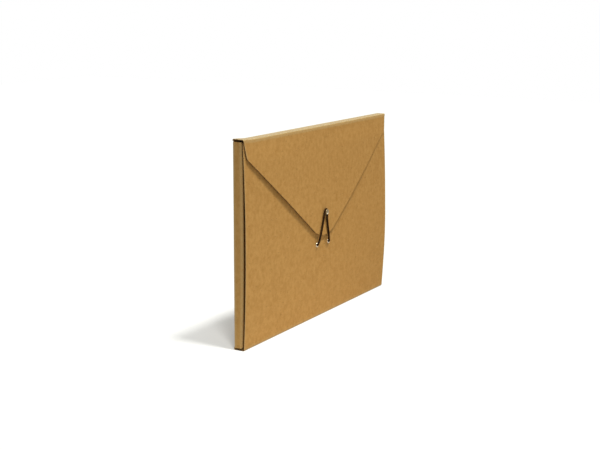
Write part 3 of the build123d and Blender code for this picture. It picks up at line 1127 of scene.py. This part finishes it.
@dataclass
class EndWall:
    """A side wall with its two vertical folds and the tab behind the front panel."""

    sizes: CaseSizes
    side: Side
    fold: float = 2.0
    fold_stretch: float = 1.6
    fold_steps: int = 17
    tab_reach: float = 25.0
    tab_low: float = 8.0
    tab_high: float = 229.0
    tab_slant: float = 10.0
    tab_recess: float = 3.4
    turn_reach: float = 6.0
    bow_from: float = 4.0
    spring_rise: Pair = (0.0, 0.22)
    spring_fall: Pair = (1.0, 0.3)
    wall_wear: float = 0.48
    slit_rub: Pair = (3.4, 0.6)
    back_rub: Pair = (4.0, 1.6)
    wall_steps: int = 10
    tab_steps: int = 26
    rows: int = 90

    def plan(self, front: float) -> tuple[Profile, int]:
        """The sheet's line in plan: the back corner, the wall, the front fold and the tab.

        The wall is marked paler from rubbing, most beside the slit and near the back.

        Args:
            front: Y of the front fold's foremost point.

        Returns:
            The line for the right end, and the number of its points before the tab.
        """
        sizes, corner, fold = self.sizes, self.sizes.corner_fold, self.fold
        end, face, fold_depth = sizes.half_width, sizes.half_depth, fold * self.fold_stretch
        line = Profile()
        line.arc((end - corner, face - corner), corner, 90.0, 0.0, FOLD_STEPS)
        line.run((end, face - corner), (end, front + fold_depth), self.wall_steps)
        line.normals[FOLD_STEPS:] = (1.0, 0.0)
        line.arc((end - fold, front + fold_depth), fold, 0.0, -90.0, self.fold_steps, self.fold_stretch)
        on_wall = len(line.points)
        near_slit = smooth_step(line.points[:, 1], front + self.slit_rub[0], front + self.slit_rub[1])
        near_back = smooth_step(line.points[:, 1], face - self.back_rub[0], face - self.back_rub[1])
        line.bends[:] = self.wall_wear + (1.0 - self.wall_wear) * np.maximum(near_slit, near_back)
        line.run((end - fold, front), (end - sizes.board - self.tab_reach, front), self.tab_steps)
        line.normals[on_wall:] = (0.0, -1.0)
        return line, on_wall

    def build(self) -> Object:
        """Build the sheet.

        Its line in plan goes round the back corner, along the wall, round the front fold and
        inwards as the tab. The front fold follows the front panel's bow behind an open slit, which
        narrows to both ends by the square of the distance from mid height, and more at its top
        than at its foot. The tab springs back from its fold, most at mid height, and then leans
        forward until its free edge meets the panel.

        Returns:
            The new object.
        """
        sizes, fold, sign = self.sizes, self.fold, self.side.value
        end, face = sizes.half_width, sizes.half_depth
        front = -face + sizes.board + sizes.slit
        line, on_wall = self.plan(front)
        x, y = line.points[:, 0], line.points[:, 1]
        tab = np.clip((end - sizes.board - x) / self.tab_reach, 0.0, 1.0)
        turned_in = smooth_step(end - x, fold, fold + self.turn_reach) * (y < 0)
        slant = self.tab_slant * tab * (y < 0)
        low = sizes.wall_low + turned_in * (self.tab_low - sizes.wall_low) + slant
        high = sizes.wall_high - turned_in * (sizes.wall_high - self.tab_high) - slant
        up = np.linspace(0.0, 1.0, self.rows)
        z = low[:, None] + (high - low)[:, None] * up[None, :]
        reach_front = smooth_step(y, self.bow_from, front)[:, None]
        level = (z - sizes.bow_middle) / (sizes.mouth / 2)
        narrowed = (sizes.slit - np.where(level > 0.0, sizes.slit_end, sizes.slit_foot)) * level**2
        bow = sizes.front_y(z) + face + sizes.settle(sign * end, z)
        shift = (bow - narrowed) * reach_front
        inward = (end - fold - x) / (sizes.board + self.tab_reach - fold)
        inward = np.where(np.arange(len(x)) >= on_wall, inward, 0.0)
        lean = (sizes.slit - sizes.glue - narrowed) * (tab * (inward > 0.0))[:, None]
        spring = smooth_step(inward, *self.spring_rise) * smooth_step(inward, *self.spring_fall)
        recess = self.tab_recess * spring[:, None] * (1.0 - level**2)
        place_y = y[:, None] + shift - lean + recess
        outside = np.stack([np.broadcast_to(x[:, None], z.shape) * sign, place_y, z], axis=2)
        normals = np.zeros_like(outside)
        normals[:, :, 0] = line.normals[:, :1] * sign
        normals[:, :, 1] = line.normals[:, 1:]
        inside = outside - sizes.board * normals
        return board_sheet(f"{self.side.word}_end_board", outside, inside, line.bends[:, None])


@dataclass
class ClosingFlap:
    """The front half of the lid's spine, its soft fold and the pointed flap.

    The board is marked paler just below the fold, partly from rubbing and partly as a painted sheen, and from
    rubbing at the flap's ends above its shoulders.
    """

    sizes: CaseSizes
    crease_y: float = -7.15
    crease_z: float = 236.05
    lean: float = math.radians(1.9)
    swell: float = 1.2
    length: float = 144.0
    shoulder_x: float = 165.5
    shoulder_z: float = 214.5
    shoulder_reach: float = 3.0
    shoulder_steps: int = 12
    point_z: float = 92.5
    point_radius: float = 42.0
    tip_angle: float = 0.004
    tip_steps: int = 26
    side_steps: int = 14
    slope_steps: int = 60
    stud_drop: float = 104.8
    fold_steps: int = 19
    fold_blend: float = 4.0
    columns: int = 141
    wave_top: Pair = (226.0, 200.0)
    phase: float = 4.0
    settled_depth: Pair = (2.0, -5.0)
    right_lift: float = 0.9
    right_reach: Pair = (12.0, 70.0)
    left_lift: float = 1.1
    left_reach: Pair = (-20.0, -100.0)
    lift_heights: Pair = (231.0, 206.0)
    fold_rub: float = 0.85
    rub_reach: float = 4.5

    def outline(self) -> np.ndarray:
        """Half width and height down the flap's right edge, from the crease to the tip.

        The edge is a straight side, a rounded shoulder, a straight slope and an arc at the tip
        that touches the slope and is level on the centre line.

        Returns:
            Half width and height, one row each.
        """
        slope = math.atan2(self.shoulder_z - self.point_z, self.shoulder_x)
        centre = self.point_z + self.point_radius / math.cos(slope)
        angle = np.linspace(slope, self.tip_angle, self.tip_steps)
        tip = np.column_stack([self.point_radius * np.sin(angle), centre - self.point_radius * np.cos(angle)])
        corners = [
            (self.sizes.half_width, self.crease_z, 0.0),
            (self.shoulder_x, self.shoulder_z, self.shoulder_reach),
            (tip[0, 0], tip[0, 1], 0.0),
        ]
        upper = rounded_line(corners, self.shoulder_steps)
        parts = [
            np.linspace(upper[0], upper[1], self.side_steps)[:-1],
            upper[1:-2],
            np.linspace(upper[-2], upper[-1], self.slope_steps)[:-1],
            tip,
        ]
        return np.concatenate(parts)

    def middle(self, drop: np.ndarray) -> tuple[np.ndarray, np.ndarray]:
        """Places and outward normals of the flap's middle line, down from its crease.

        The line leans outwards by the lean and swells beyond its chord as a parabola.

        Args:
            drop: distances down from the crease.

        Returns:
            Places and unit normals as Y and Z, one row each.
        """
        drop = np.asarray(drop, float)
        share = 2.0 * drop / self.length - 1.0
        swell = self.swell * (1.0 - share**2)
        lean = self.lean - np.arctan(4.0 * self.swell * share / self.length)
        y = self.crease_y - drop * math.sin(self.lean) - swell * math.cos(self.lean)
        z = self.crease_z - drop * math.cos(self.lean) + swell * math.sin(self.lean)
        return np.stack([y, z], axis=-1), np.stack([-np.cos(lean), np.sin(lean)], axis=-1)

    def profile(self) -> tuple[Profile, np.ndarray]:
        """The sheet's line in Y and Z, from the lid's middle, round the fold and down to the tip.

        The flap's first stretch below the fold is raised until the fold meets the lid's top.

        Returns:
            The line and the half width at each of its points.
        """
        sizes, fold = self.sizes, self.sizes.front_fold
        edge = self.outline()
        place, normals = self.middle((self.crease_z - edge[:, 1]) / math.cos(self.lean))
        place += sizes.board / 2 * normals
        under_fold = place[:, 1] < sizes.height - fold * (1.0 - normals[:, 1])
        edge, place, normals = edge[under_fold], place[under_fold], normals[under_fold]
        start_z = place[0, 1]
        centre = place[0] - fold * normals[0]
        raised = sizes.height - fold - centre[1]
        place[:, 1] += raised * smooth_step(place[:, 1], start_z - self.fold_blend, start_z)
        centre[1] += raised
        profile = Profile()
        profile.run((sizes.lid_middle, sizes.height), (centre[0], sizes.height), SPINE_STEPS)
        profile.normals[:] = (0.0, 1.0)
        last = math.degrees(math.atan2(normals[0, 1], normals[0, 0]))
        profile.arc(tuple(centre), fold, 90.0, last, self.fold_steps)
        over_lid = len(profile.points)
        profile.add(place, normals, 0.0)
        near_fold = smooth_step(profile.points[over_lid:, 1], start_z - self.rub_reach, start_z)
        profile.bends[over_lid:] = self.fold_rub * near_fold
        share = np.clip((profile.points[:over_lid, 1] - start_z) / fold, 0.0, 1.0)
        half = edge[0, 0] + (sizes.half_width - edge[0, 0]) * share
        half = np.concatenate([half, edge[len(edge) - len(profile.points) + over_lid :, 0]])
        return profile, half

    def build(self) -> Object:
        """Build the sheet.

        Both halves lift a little off the panel below the fold, away from the stud.

        Returns:
            The new object.
        """
        sizes = self.sizes
        profile, half = self.profile()
        outside, inside = carried(profile, half, even_columns(self.columns), sizes.board)
        x, z = outside[:, :, 0], outside[:, :, 2]
        wave = soft_warp(outside, self.phase) * smooth_step(profile.points[:, 1:], *self.wave_top)
        wave += sizes.settle(x, z) * smooth_step(profile.points[:, :1], *self.settled_depth)
        below = smooth_step(z, *self.lift_heights)
        for lift, reach in ((self.right_lift, self.right_reach), (self.left_lift, self.left_reach)):
            wave -= lift * smooth_step(x, *reach) * below
        for grid in (outside, inside):
            grid[:, :, 1] += wave
        at_ends = smooth_step(half[:, None] - np.abs(x), self.rub_reach, 0.0)
        at_ends = at_ends * (profile.points[:, 1:] > self.shoulder_z)
        bends = np.maximum(profile.bends[:, None], self.fold_rub * at_ends)
        obj = board_sheet("flap_board", outside, inside, bends)
        sizes.age_lid_and_mark_sheen(obj)
        return obj


@dataclass
class Hardware:
    """The stud with its washer on the flap, and the two eyelets in the front panel.

    Heights are measured along each piece's axis: from the flap's middle plane for the stud and
    its washer, and from the front panel's outside for the eyelets.
    """

    flap: ClosingFlap
    sides: int = 96
    clinch_foot: float = 1.5
    clinch_rim: float = 1.7
    clinch_low: float = -0.98
    clinch_high: float = -0.85
    shank: float = 1.2
    flange: float = 2.4
    flange_low: float = 0.45
    flange_high: float = 0.95
    head: float = 3.2
    head_low: float = 3.55
    head_high: float = 3.9
    crown: float = 2.95
    crown_low: float = 4.05
    crown_rise: float = 1.05
    crown_steps: int = 14
    # Share of the painted dark reflection, and the place, reach and height of the painted highlight.
    painted_dark_reflection: float = 0.85
    spot_x: float = -0.2
    spot_z: float = -2.7
    spot_reach: Pair = (2.0, 1.1)
    spot_low: float = 3.5
    washer_bore: float = 1.25
    washer_dish: float = 2.4
    washer_rim: float = 2.8
    washer_low: float = -0.84
    washer_lip: float = -0.7
    washer_high: float = -0.46
    bore: float = 1.65
    barrel: float = 1.95
    bead_rim: float = 3.1
    bead_low: float = 0.03
    bead_rise: float = 0.80
    bead_power: float = 0.8
    roll_rim: float = 2.9
    roll_high: float = -0.93
    roll_drop: float = 0.6
    roll_steps: int = 22
    splits: int = 8
    split_depth: float = 0.07
    split_reach: Pair = (2.1, 2.9)
    split_below: float = -0.9

    def stud_frame(self) -> tuple[np.ndarray, np.ndarray]:
        """The stud's origin in the flap's middle plane, and its axis."""
        place, normal = self.flap.middle(self.flap.stud_drop)
        return np.array([0.0, *place]), np.array([0.0, *normal])

    def stud(self) -> Object:
        """Turn the stud: a clinched shank, a flange, a neck and a low domed head.

        A corner of its profile has a radius, a height and the reach of its rounding. The dome is a
        quarter of an ellipse. The metal carries a painted dark reflection all over, and a painted highlight
        in one spot low on the head.

        Returns:
            The new object.
        """
        turn = np.linspace(0.0, math.pi / 2, self.crown_steps)
        crown = np.column_stack([self.crown * np.cos(turn), self.crown_low + self.crown_rise * np.sin(turn)])
        crown[-1, 0] = 0.0
        corners = [
            (0.0, self.clinch_low, 0.0),
            (self.clinch_foot, self.clinch_low, 0.15),
            (self.clinch_rim, self.clinch_high, 0.05),
            (self.shank, self.clinch_high, 0.0),
            (self.shank, self.flange_low, 0.0),
            (self.flange, self.flange_low, 0.08),
            (self.flange, self.flange_high, 0.22),
            (self.shank, self.flange_high, 0.4),
            (self.shank, self.head_low, 0.4),
            (self.head, self.head_low, 0.16),
            (self.head, self.head_high, 0.16),
            (self.crown, self.crown_low, 0.0),
        ]
        profile = np.concatenate([rounded_line(corners)[:-1], crown])
        centre, axis = self.stud_frame()
        obj = turned_piece("stud", profile, centre, axis, self.sides)
        away = mesh_points(obj.data) - centre
        spot = np.hypot(away[:, 0] - self.spot_x, away[:, 2] - self.spot_z)
        # Painted dark reflection over the whole stud, and a painted highlight in one spot low on the head.
        point_values(obj, "painted_dark_reflection", np.full(len(spot), self.painted_dark_reflection))
        point_values(obj, "wear_and_highlight", smooth_step(spot, *self.spot_reach) * (away @ axis > self.spot_low))
        return obj

    def washer(self) -> Object:
        """Turn the washer inside the flap, with a slight dish at its rim.

        Returns:
            The new object.
        """
        corners = [
            (self.washer_bore, self.washer_high, 0.0),
            (self.washer_bore, self.washer_low, 0.08),
            (self.washer_dish, self.washer_low, 0.3),
            (self.washer_rim, self.washer_lip, 0.06),
            (self.washer_rim, self.washer_high, 0.06),
            (self.washer_bore, self.washer_high, 0.0),
        ]
        return turned_piece("stud_ring", rounded_line(corners), *self.stud_frame(), self.sides)

    def eyelet(self, side: Side) -> Object:
        """Turn one eyelet: a rolled bead in front, a barrel and a split roll behind.

        The bead is half an ellipse between the bore and the rim. Behind the board the roll is a
        lower half ellipse, and its edge waves in and out where the tube has split.

        Args:
            side: which eyelet.

        Returns:
            The new object.
        """
        sizes = self.flap.sizes
        axis = np.array([0.0, *sizes.front_normal(sizes.eyelet_z)])
        centre = np.array([side.value * sizes.eyelet_x, float(sizes.front_y(sizes.eyelet_z)), sizes.eyelet_z])
        turn = np.linspace(0.0, math.pi, self.roll_steps)
        bead_radius = (self.bead_rim + self.bore) / 2 + (self.bead_rim - self.bore) / 2 * np.cos(turn)
        bead_height = self.bead_low + self.bead_rise * np.sin(turn) ** self.bead_power
        roll_radius = (self.roll_rim + self.bore) / 2 - (self.roll_rim - self.bore) / 2 * np.cos(turn)
        roll_height = self.roll_high - self.roll_drop * np.sin(turn)
        parts = [
            np.column_stack([bead_radius, bead_height]),
            np.column_stack([roll_radius, roll_height]),
            [(self.barrel, self.roll_high), (self.barrel, self.bead_low), (self.bead_rim, self.bead_low)],
        ]
        obj = turned_piece(f"{side.word}_ring", np.concatenate(parts), centre, axis, self.sides)
        place = mesh_points(obj.data)
        away = place - centre
        along = away @ axis
        flat = away - along[:, None] * axis
        radius = np.linalg.norm(flat, axis=1)
        angle = np.arctan2(flat[:, 2], flat[:, 0])
        split = self.split_depth * (np.cos(self.splits * angle) - 1.0)
        split = split * smooth_step(radius, *self.split_reach) * (along < self.split_below)
        move_points(obj.data, place + flat * split[:, None])
        return obj


@dataclass
class LoopCord:
    """The elastic cord: one braided line from knot to knot, round the stud's neck."""

    sizes: CaseSizes
    radius: float = 1.15
    carriers: int = 8
    braid_pitch: float = 5.2
    under_yarn: float = 0.72
    yarn_power: float = 0.6
    groove_radius: float = 0.97
    yarn_rise: float = 0.09
    end_round: float = 0.8
    end_least: float = 0.02
    around: int = 48
    step: float = 0.13
    map_length: float = 6.0
    curve_order: int = 3
    curve_steps: int = 40
    turn_heights: Pair = (98.0, 122.0)
    route: tuple[Place, ...] = (
        (-14.0, -5.9, 92.02),
        (-14.2, -9.4, 92.0),
        (-15.0, -11.3, 92.1),
        (-14.6, -13.0, 96.98),
        (-11.9, -13.92, 105.98),
        (-6.4, -13.9, 121.0),
        (-3.4, -13.85, 132.6),
        (-0.4, -13.85, 134.8),
        (2.3, -13.85, 133.4),
        (2.9, -13.9, 118.98),
        (6.3, -13.92, 105.98),
        (9.0, -13.0, 96.98),
        (12.8, -11.3, 92.1),
        (13.8, -9.4, 92.0),
        (14.0, -5.9, 92.02),
    )
    knot_y: float = -4.95
    knot_scale: float = 1.12
    knot_depth: float = 1.02
    knot_gap: float = 0.50
    knot_points: int = 34
    knot_entry: tuple[Pair, ...] = ((-8.3, 0.0), (-7.3, 0.1))
    knot_tail: tuple[Place, ...] = ((0.0, 0.1, -1.5), (0.3, 0.2, -4.5), (0.2, 0.2, -7.5))
    knot_aslant: Place = (0.31, 0.22, 0.92)
    knot_tilt: float = 0.02

    def line(self, points: np.ndarray) -> np.ndarray:
        """Points along the smooth curve that has the given points as control points.

        Args:
            points: control points in millimetres.

        Returns:
            Points in millimetres, evenly spaced along the curve.
        """
        curve = bpy.data.curves.new("cord_route", "CURVE")
        curve.dimensions = "3D"
        spline = curve.splines.new("NURBS")
        spline.points.add(len(points) - 1)
        spline.points.foreach_set("co", np.column_stack([points * MM, np.ones(len(points))]).ravel())
        spline.order_u = self.curve_order
        spline.use_endpoint_u = True
        spline.resolution_u = self.curve_steps
        holder = bpy.data.objects.new("cord_route", curve)
        bpy.context.scene.collection.objects.link(holder)
        bpy.context.view_layer.update()
        mesh = bpy.data.meshes.new_from_object(holder.evaluated_get(bpy.context.evaluated_depsgraph_get()))
        place = mesh_points(mesh)
        bpy.data.objects.remove(holder)
        bpy.data.curves.remove(curve)
        bpy.data.meshes.remove(mesh)
        gaps = np.linalg.norm(np.diff(place, axis=0), axis=1)
        keep = np.concatenate([[True], gaps > CLOSE])
        place, length = place[keep], np.concatenate([[0.0], np.cumsum(gaps[gaps > CLOSE])])
        even = np.linspace(0.0, length[-1], int(length[-1] / self.step) + 1)
        return np.column_stack([np.interp(even, length, place[:, k]) for k in range(3)])

    def tube(self, name: str, line: np.ndarray, reference: np.ndarray) -> Object:
        """Carry a braided round section along a line.

        At each point of the line two unit vectors span the section: the reference made square to
        the line's direction, and their cross product. The radius is the cord's, less a groove
        where neither of the two families of yarns that wind left and right stands on top.

        Args:
            name: object name.
            line: points in millimetres, evenly spaced.
            reference: a direction for each point that is never along the line.

        Returns:
            The new object, with a map round and along the cord and its braid's height.
        """
        along = np.gradient(line, axis=0)
        along /= np.linalg.norm(along, axis=1, keepdims=True)
        first = reference - np.sum(reference * along, axis=1, keepdims=True) * along
        first /= np.linalg.norm(first, axis=1, keepdims=True)
        second = np.cross(along, first)
        count = len(line)
        angle = np.linspace(0.0, FULL_TURN, self.around, endpoint=False)[None, :]
        travel = (np.arange(count) * self.step)[:, None]
        wind = FULL_TURN * travel / self.braid_pitch
        left = np.cos(self.carriers * (angle + wind) / 2.0) ** 2
        right = np.cos(self.carriers * (angle - wind) / 2.0) ** 2
        over = np.cos(self.carriers * angle / 2.0) * np.cos(self.carriers * wind / 2.0) > 0
        left_on_top = np.maximum(left, self.under_yarn * right)
        right_on_top = np.maximum(right, self.under_yarn * left)
        height = np.where(over, left_on_top, right_on_top) ** self.yarn_power
        ends = smooth_step(travel, 0.0, self.end_round) * smooth_step(travel[::-1], 0.0, self.end_round)
        radius = self.radius * (self.groove_radius + self.yarn_rise * height)
        radius = radius * np.sqrt(np.maximum(ends, self.end_least))
        points = (
            line[:, None, :]
            + (radius * np.cos(angle))[:, :, None] * first[:, None, :]
            + (radius * np.sin(angle))[:, :, None] * second[:, None, :]
        )
        index = np.arange(count * self.around).reshape(count, self.around)
        faces = [quads(np.hstack([index, index[:, :1]]))]
        for ring, pole in ((index[0], index.size), (index[-1], index.size + 1)):
            faces.append(np.column_stack([ring, np.roll(ring, -1), np.full(self.around, pole)]))
        obj = finish_mesh(name, np.concatenate([points.reshape(-1, 3), line[:1], line[-1:]]), faces)
        point_values(obj, "braid_height", np.concatenate([height.ravel(), [1.0, 1.0]]))
        self.map_braid(obj.data)
        tidy_normals(obj)
        return obj

    def map_braid(self, mesh: Mesh) -> None:
        """Lay a map round and along a tube, whose last column of faces ends at 1 and not at 0.

        Args:
            mesh: a tube whose point numbers go round each section in turn.
        """
        loops = np.empty(len(mesh.loops), np.int64)
        mesh.loops.foreach_get("vertex_index", loops)
        column, row = loops % self.around, loops // self.around
        edge_face = np.repeat(np.arange(len(mesh.polygons)), 4)[: len(loops)]
        wrapped = (column == 0) & ((edge_face % self.around) == self.around - 1)
        across = (column + self.around * wrapped) / self.around
        places = np.column_stack([across, row * self.step / self.map_length])
        layer = mesh.uv_layers.new(name="braid")
        layer.data.foreach_set("uv", places.ravel().astype(np.float32))

    def build(self) -> tuple[Object, np.ndarray]:
        """Build the loop and return it with the points that it follows, in metres.

        The section's reference turns from the width, in the eyelets, to the front, at the stud.

        Returns:
            The cord and its line.
        """
        line = self.line(np.array(self.route))
        share = smooth_step(line[:, 2], *self.turn_heights)[:, None]
        reference = (1.0 - share) * np.array([1.0, 0.0, 0.0]) + share * np.array([0.0, -1.0, 0.0])
        return self.tube("loop_cord", line, reference), line * MM

    def knot(self, side: Side) -> Object:
        """Tie the overhand knot inside one eyelet, with its short tail.

        The line is the flat picture of an overhand knot: a point goes twice round while its
        distance from the centre swings three times, and it passes over and under as it crosses.

        Args:
            side: which end of the cord.

        Returns:
            The new object.
        """
        x, z = side.value * self.sizes.eyelet_x, self.sizes.eyelet_z
        turn = np.linspace(self.knot_gap, FULL_TURN - self.knot_gap, self.knot_points)
        flat_x = self.knot_scale * (np.sin(turn) + 2.0 * np.sin(2.0 * turn))
        flat_z = self.knot_scale * (np.cos(turn) - 2.0 * np.cos(2.0 * turn))
        depth = -self.knot_depth * np.sin(3.0 * turn)
        body = np.array([x, self.knot_y, z]) + np.column_stack([flat_x * side.value, depth, flat_z])
        entry = np.array([(x, y, z + up) for y, up in self.knot_entry])
        tail = body[-1] + np.array(self.knot_tail) * [side.value, 1.0, 1.0]
        line = self.line(np.concatenate([entry, body, tail]))
        reference = np.cross(np.gradient(line, axis=0), self.knot_aslant) + CLOSE
        reference += self.knot_tilt * np.array([0.0, 1.0, 0.0])
        return self.tube(f"{side.word}_knot", line, reference)


def seen_directly(sheet: NodeSheet) -> NodeSocket:
    """1 on rays from the camera, and on those that metal or glass throws back or lets through.

    Args:
        sheet: the sheet of a material or a world.

    Returns:
        The mask.
    """
    path = sheet.add("ShaderNodeLightPath").outputs
    mirrored = sheet.math("MAXIMUM", path["Is Glossy Ray"], path["Is Transmission Ray"])
    return sheet.math("MAXIMUM", path["Is Camera Ray"], mirrored)


@dataclass
class Studio:
    """Camera, light and floor as in the photograph."""

    location: Place = (-1.14115, -0.65799, 0.38472)
    forward: Place = (0.8410, 0.5019, -0.2020)
    roll: float = math.radians(0.255)
    lens: float = 65.98
    sensor: float = 36.0
    clip: Pair = (0.01, 50.0)
    key_travel: Place = (-0.02, 0.35, -0.92)
    key_strength: float = 2.45
    fill_travel: Place = (0.32, 0.32, -0.89)
    fill_strength: float = 1.05
    softness: float = math.radians(8.0)
    sky: float = 0.37
    # Painted pool of light in the floor's colour: its tone near the case and far from it.
    painted_pool_tone: Pair = (0.75, 0.33)
    floor_lift: Pair = (0.20, 0.60)
    floor_blue: float = 0.97
    floor_glow: Colour = (0.975, 1.0, 0.96, 1.0)
    pool_centre: Place = (-0.09, -0.13, 0.0)
    pool_reach: Pair = (0.08, 0.50)
    floor_half: float = 3000.0
    floor_drop: float = -0.15

    def camera(self) -> None:
        """Set the camera that matches the photograph."""
        data = bpy.data.cameras.new("camera")
        data.lens = self.lens
        data.sensor_width = self.sensor
        data.clip_start, data.clip_end = self.clip
        forward = Vector(self.forward).normalized()
        level = forward.cross(Vector((0.0, 0.0, 1.0))).normalized()
        upright = level.cross(forward)
        right = math.cos(self.roll) * level + math.sin(self.roll) * upright
        up = right.cross(forward)
        matrix = Matrix((right, up, -forward)).transposed().to_4x4()
        matrix.translation = Vector(self.location)
        obj = bpy.data.objects.new("camera", data)
        obj.matrix_world = matrix
        bpy.context.scene.collection.objects.link(obj)
        bpy.context.scene.camera = obj

    def light(self) -> None:
        """Set a soft key and a weaker fill, and a plain sky that camera and gloss see as white."""
        lamps = (("key", self.key_travel, self.key_strength), ("fill", self.fill_travel, self.fill_strength))
        for name, travel, strength in lamps:
            data = bpy.data.lights.new(name, "SUN")
            data.energy = strength
            data.angle = self.softness
            lamp = bpy.data.objects.new(name, data)
            lamp.rotation_euler = Vector(travel).to_track_quat("-Z", "Y").to_euler()
            bpy.context.scene.collection.objects.link(lamp)
        world = bpy.data.worlds.new("studio")
        sheet = clear_sheet(world)
        strength = sheet.math("ADD", sheet.times(seen_directly(sheet), 1.0 - self.sky), self.sky)
        back = sheet.add("ShaderNodeBackground", {"Color": (1.0, 1.0, 1.0, 1.0), "Strength": strength})
        sheet.add("ShaderNodeOutputWorld", {"Surface": back.outputs[0]})
        bpy.context.scene.world = world
        bpy.context.scene.view_settings.view_transform = "Standard"

    def floor(self) -> None:
        """Lay the pale table top, whose colour is a painted pool of light, palest before the case; it is
        white to the camera where lit.
        """
        half, drop = self.floor_half, self.floor_drop
        corners = ((-half, -half), (half, -half), (half, half), (-half, half))
        points = np.array([(x, y, drop) for x, y in corners])
        obj = finish_mesh("floor", points, [np.array([[0, 1, 2, 3]])])
        material = bpy.data.materials.new("floor")
        sheet = clear_sheet(material)
        names = {0: sheet.place(), 1: self.pool_centre}
        away = sheet.add("ShaderNodeVectorMath", names, operation="DISTANCE").outputs["Value"]
        # Painted pool of light: the floor is palest near the case and darker further away, which shapes the
        # light that it throws back onto the case.
        near, far = ((tone, tone, self.floor_blue * tone, 1.0) for tone in self.painted_pool_tone)
        tone = sheet.mix(sheet.ramp(away, self.pool_reach), near, far)
        matte = sheet.add("ShaderNodeBsdfDiffuse", {"Color": tone})
        lift = sheet.times(seen_directly(sheet), sheet.ramp(away, self.pool_reach, self.floor_lift))
        glow = sheet.add("ShaderNodeEmission", {"Color": self.floor_glow, "Strength": lift})
        both = sheet.add("ShaderNodeAddShader", {0: matte.outputs[0], 1: glow.outputs[0]})
        sheet.add("ShaderNodeOutputMaterial", {"Surface": both.outputs[0]})
        obj.data.materials.append(material)


@dataclass
class Envelope:
    """The whole case: builds each piece and dresses it, and fixes the front, the end walls, the metal and the
    knots to their bodies.
    """

    sizes: CaseSizes = field(default_factory=CaseSizes)

    def dress(self, obj: Object, material: Material, nodes: tuple[str, ...]) -> None:
        """Give a piece its material and slot, hide the frame's nodes that it stands for, and log its face
        count.

        Args:
            obj: the piece.
            material: its material.
            nodes: nodes of the frame that it replaces.
        """
        obj.data.materials.append(material)
        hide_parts(*nodes)
        LOG.info("%s: %d faces", obj.name, len(obj.data.polygons))

    def board(self, kraft: Material) -> None:
        """Build the five sheets of board.

        Args:
            kraft: the board's material.
        """
        front = PocketFront(self.sizes).build()
        self.dress(front, kraft, ("front_panel", "bottom_spine"))
        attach(front, "pocket")
        back = PocketBack(self.sizes).build()
        self.dress(back, kraft, ("back_panel", "top_spine"))
        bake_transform(back)
        for side in Side:
            wall = EndWall(self.sizes, side).build()
            self.dress(wall, kraft, (f"{side.word}_side_wall", f"{side.word}_glue_tab"))
            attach(wall, "pocket")
        flap = ClosingFlap(self.sizes).build()
        self.dress(flap, kraft, ("closing_flap",))
        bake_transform(flap)

    def metal(self, nickel: Material) -> None:
        """Build the stud, its washer and the eyelets.

        Args:
            nickel: the metal's material.
        """
        hardware = Hardware(ClosingFlap(self.sizes))
        for obj, node in ((hardware.stud(), "flap_stud"), (hardware.washer(), "stud_washer")):
            self.dress(obj, nickel, (node,))
            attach(obj, "flap")
        for side in Side:
            ring = hardware.eyelet(side)
            self.dress(ring, nickel, (f"{side.word}_eyelet",))
            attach(ring, "pocket")

    def cord(self, sheath: Material) -> None:
        """Args:
            sheath: the cord's material.
        """
        cord = LoopCord(self.sizes)
        loop, line = cord.build()
        self.dress(loop, sheath, ("elastic_loop",))
        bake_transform(loop)
        for side in Side:
            knot = cord.knot(side)
            self.dress(knot, sheath, (f"{side.word}_cord_knot",))
            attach(knot, "pocket")

    def build(self) -> None:
        """Build every piece in order."""
        fibre, scuff = PaperFibre().group(), FineScuff().group()
        self.cord(CordFinish().material())
        self.board(KraftFinish().material(fibre, scuff))
        self.metal(NickelFinish().material(scuff))


def main() -> None:
    """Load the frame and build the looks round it."""
    logging.basicConfig(level=logging.INFO, format="%(message)s")
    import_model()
    studio = Studio()
    studio.camera()
    studio.light()
    studio.floor()
    Envelope().build()


if __name__ == "__main__":
    main()
